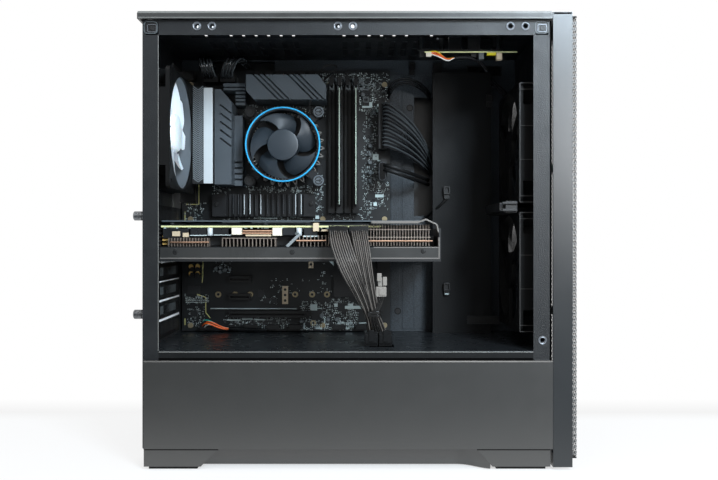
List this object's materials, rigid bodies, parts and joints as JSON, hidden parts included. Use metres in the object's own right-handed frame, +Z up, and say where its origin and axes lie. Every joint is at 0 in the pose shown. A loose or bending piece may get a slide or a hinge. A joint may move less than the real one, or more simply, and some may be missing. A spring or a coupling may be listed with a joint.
{
  "type": "desktop computer tower",
  "caption": "Mid-tower desktop computer, left window off, showing mainboard, ring cooler, long graphics card, fans and combed cables above a closed power supply chamber.",
  "frame": {"origin": "on the ground plane under the feet, below the middle of the case's overall box (1.6 mm in front of it)", "axes": "+X towards the front panel, +Y towards the closed right side panel, +Z up; the open side faces -Y"},
  "size_m": [0.4339, 0.21, 0.443],
  "materials": {
    "black_steel": "fine textured black paint",
    "black_plastic": "matte black",
    "frosted_plastic": "frosted white",
    "blue_plastic": "satin light blue",
    "foot_rubber": "matte",
    "bright_steel": "nickel plated",
    "black_screws": "black",
    "brass": "plain",
    "circuit_board": "black solder mask",
    "grey_aluminium": "grey anodised",
    "bare_aluminium": "bare",
    "processor_lid": "nickel plated",
    "cable_sleeve": "satin black"
  },
  "bodies": {
    "chassis": {"atx_power_cable": "cable_sleeve", "board_heatsinks": "grey_aluminium", "board_sockets": "black_plastic", "bottom_pan": "black_steel", "cable_cover": "black_steel", "cable_plugs": "black_plastic", "case_fan_frames": "black_plastic", "cpu_fan_frame": "black_plastic", "cpu_fan_ring": "blue_plastic", "cpu_heatsink": "bare_aluminium", "cpu_package": "processor_lid", "cpu_power_cables": "cable_sleeve", "dimm_slots": "black_plastic", "feet": "black_plastic", "foot_pads": "foot_rubber", "front_frame": "black_steel", "front_io_board": "circuit_board", "gpu_backplate": "grey_aluminium", "gpu_bracket": "bright_steel", "gpu_fin_stack": "bare_aluminium", "gpu_pcb": "circuit_board", "gpu_power_cables": "cable_sleeve", "gpu_shroud": "black_plastic", "io_cover": "black_plastic", "io_shield": "bright_steel", "lower_side_cover": "black_steel", "memory_modules": "circuit_board", "motherboard_pcb": "circuit_board", "motherboard_tray": "black_steel", "pcie_slots": "black_plastic", "psu_case": "black_steel", "psu_shroud": "black_steel", "push_pins": "black_plastic", "rear_panel": "black_steel", "retainer_thumbscrews": "black_screws", "side_panel_sockets": "bright_steel", "slot_covers": "black_steel", "slot_retainer": "black_steel", "standoffs": "brass", "top_frame": "black_steel", "top_panel": "black_steel", "usb3_cable": "cable_sleeve", "vrm_heatsink_left": "grey_aluminium", "vrm_heatsink_top": "grey_aluminium"},
    "right_panel": {"right_side_panel": "black_steel", "panel_thumbscrews": "black_screws"},
    "front_panel": {"front_bezel": "black_plastic", "front_mesh": "black_steel"},
    "top_filter": {"top_filter": "black_plastic"},
    "power_button": {"power_button": "black_plastic"},
    "dimm_latches": {"dimm_latches": "black_plastic"},
    "cpu_fan": {"cpu_fan_rotor": "black_plastic"},
    "rear_fan": {"rear_fan_rotor": "frosted_plastic"},
    "front_fan_upper": {"front_fan_rotor_upper": "black_plastic"},
    "front_fan_lower": {"front_fan_rotor_lower": "black_plastic"},
    "gpu_fan_1": {"gpu_fan_rotor_1": "black_plastic"},
    "gpu_fan_2": {"gpu_fan_rotor_2": "black_plastic"},
    "gpu_fan_3": {"gpu_fan_rotor_3": "black_plastic"},
    "psu_fan": {"psu_fan_rotor": "black_plastic"},
    "psu_switch": {"psu_switch": "black_plastic"}
  },
  "joints": [
    {"name": "right_panel_slide", "type": "slide", "parent": "chassis", "child": "right_panel", "axis": [-1, 0, 0], "range_m": [0, 0.02]},
    {"name": "front_panel_pull", "type": "slide", "parent": "chassis", "child": "front_panel", "axis": [1, 0, 0], "range_m": [0, 0.03]},
    {"name": "top_filter_lift", "type": "slide", "parent": "chassis", "child": "top_filter", "axis": [0, 0, 1], "range_m": [0, 0.03]},
    {"name": "power_button_press", "type": "slide", "parent": "chassis", "child": "power_button", "axis": [0, 0, -1], "range_m": [0, 0.0015], "stiffness_N_per_m": 400},
    {"name": "dimm_latches_swing", "type": "hinge", "parent": "chassis", "child": "dimm_latches", "pos_m": [-0.0126, 0.067, 0.40235], "axis": [-1, 0, 0], "range_deg": [0, 30]},
    {"name": "cpu_fan_spin", "type": "hinge", "parent": "chassis", "child": "cpu_fan", "pos_m": [-0.08, 0.04, 0.3285], "axis": [0, 1, 0], "continuous": true},
    {"name": "rear_fan_spin", "type": "hinge", "parent": "chassis", "child": "rear_fan", "pos_m": [-0.19, -0.0385, 0.333], "axis": [1, 0, 0], "continuous": true},
    {"name": "front_fan_upper_spin", "type": "hinge", "parent": "chassis", "child": "front_fan_upper", "pos_m": [0.175, -0.02, 0.3189], "axis": [1, 0, 0], "continuous": true},
    {"name": "front_fan_lower_spin", "type": "hinge", "parent": "chassis", "child": "front_fan_lower", "pos_m": [0.175, -0.02, 0.1902], "axis": [1, 0, 0], "continuous": true},
    {"name": "gpu_fan_1_spin", "type": "hinge", "parent": "chassis", "child": "gpu_fan_1", "pos_m": [-0.151, 0.0025, 0.208], "axis": [0, 0, 1], "continuous": true},
    {"name": "gpu_fan_2_spin", "type": "hinge", "parent": "chassis", "child": "gpu_fan_2", "pos_m": [-0.056, 0.0025, 0.208], "axis": [0, 0, 1], "continuous": true},
    {"name": "gpu_fan_3_spin", "type": "hinge", "parent": "chassis", "child": "gpu_fan_3", "pos_m": [0.039, 0.0025, 0.208], "axis": [0, 0, 1], "continuous": true},
    {"name": "psu_fan_spin", "type": "hinge", "parent": "chassis", "child": "psu_fan", "pos_m": [-0.1178, 0.01, 0.035], "axis": [0, 0, 1], "continuous": true},
    {"name": "psu_switch_rock", "type": "hinge", "parent": "chassis", "child": "psu_switch", "pos_m": [-0.1998, -0.043, 0.085], "axis": [0, 1, 0], "range_deg": [-8, 8]}
  ]
}
